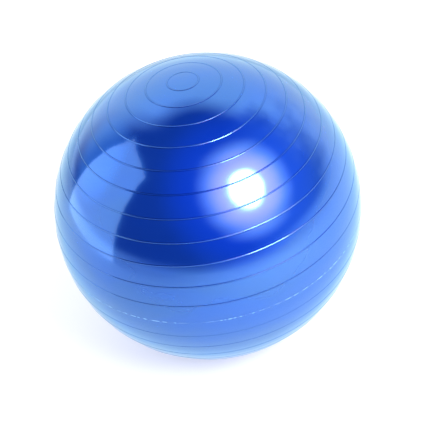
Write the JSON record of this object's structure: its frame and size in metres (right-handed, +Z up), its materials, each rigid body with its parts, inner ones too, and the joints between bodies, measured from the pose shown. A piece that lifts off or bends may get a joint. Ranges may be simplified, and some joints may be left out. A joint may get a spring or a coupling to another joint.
{
  "type": "exercise ball",
  "caption": "Inflated exercise ball with raised rings and a mould seam round a hollow PVC skin, a moulded valve seat and a pull-out plug.",
  "frame": {"origin": "middle of the flat that the ball stands on, at floor level", "axes": "+Z up, the axis that the ribs run round; +Y towards the side with the valve; +X completes a right-handed frame"},
  "size_m": [0.6504, 0.6504, 0.648],
  "materials": {
    "skin": "gloss",
    "seat": "satin",
    "plug": "satin"
  },
  "bodies": {
    "ball": {"ball_skin": "skin", "valve_seat": "seat"},
    "plug": {"valve_plug": "plug"}
  },
  "joints": [
    {"name": "plug_pull", "type": "slide", "parent": "ball", "child": "plug", "axis": [0, 0.9798, -0.2], "range_m": [0, 0.04]}
  ]
}
